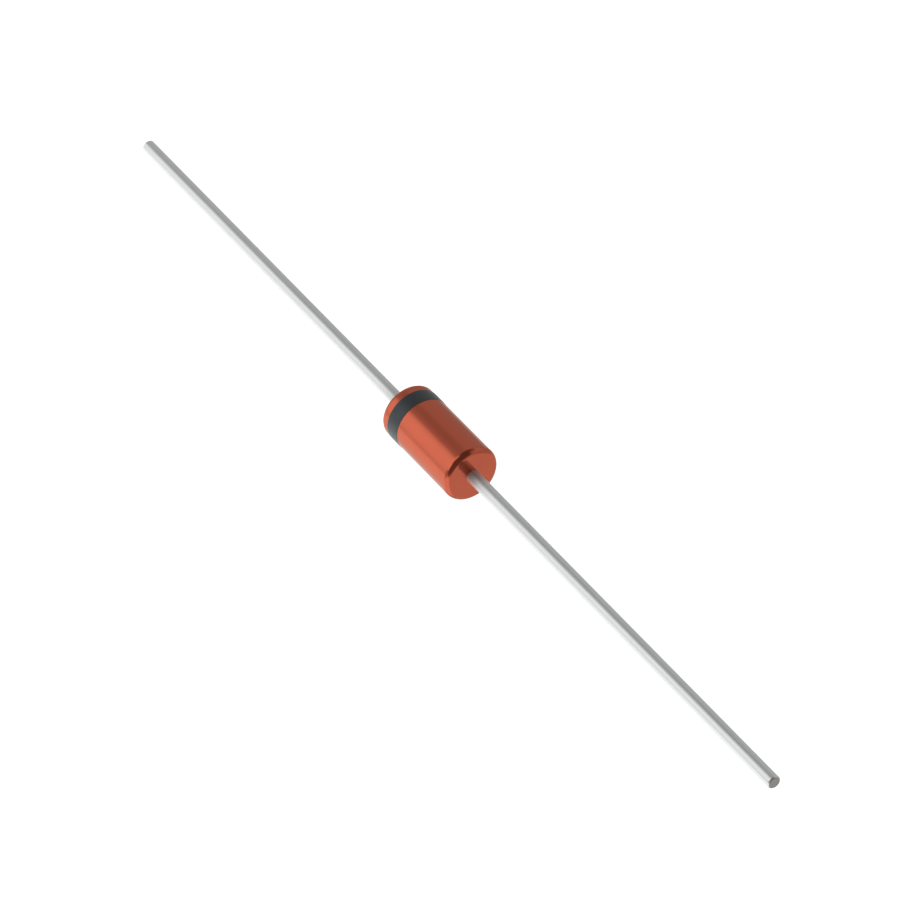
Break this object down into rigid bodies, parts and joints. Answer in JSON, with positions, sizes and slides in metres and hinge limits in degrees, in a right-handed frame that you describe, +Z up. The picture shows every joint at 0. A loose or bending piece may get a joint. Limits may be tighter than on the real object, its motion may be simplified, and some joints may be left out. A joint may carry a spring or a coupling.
{
  "type": "zener diode",
  "caption": "Axial-lead zener diode: a glossy orange-red glass cylinder with a dark cathode band and straight tinned wire leads, soldered into a circuit board to hold a steady voltage.",
  "frame": {"origin": "centre of the glass body, on the axis of the leads", "axes": "+X along the leads from the cathode (banded end) to the anode, +Z up with the leads level"},
  "size_m": [0.038, 0.002, 0.002],
  "materials": {
    "body_glass": "orange-red sealing glass, fire-polished gloss, opaque to the eye",
    "band_paint": "baked dark slate marking paint, satin",
    "lead_tin": "bright tin plate on copper-clad steel wire",
    "slug_metal": "oxidised copper cladding on a nickel-iron core",
    "die_silicon": "lapped silicon",
    "bump_silver": "plated silver, satin"
  },
  "bodies": {
    "root": {"glass_envelope": "body_glass", "cathode_band": "band_paint", "cathode_slug": "slug_metal", "anode_slug": "slug_metal", "cathode_lead": "lead_tin", "anode_lead": "lead_tin", "zener_die": "die_silicon", "contact_bump": "bump_silver"}
  },
  "joints": []
}
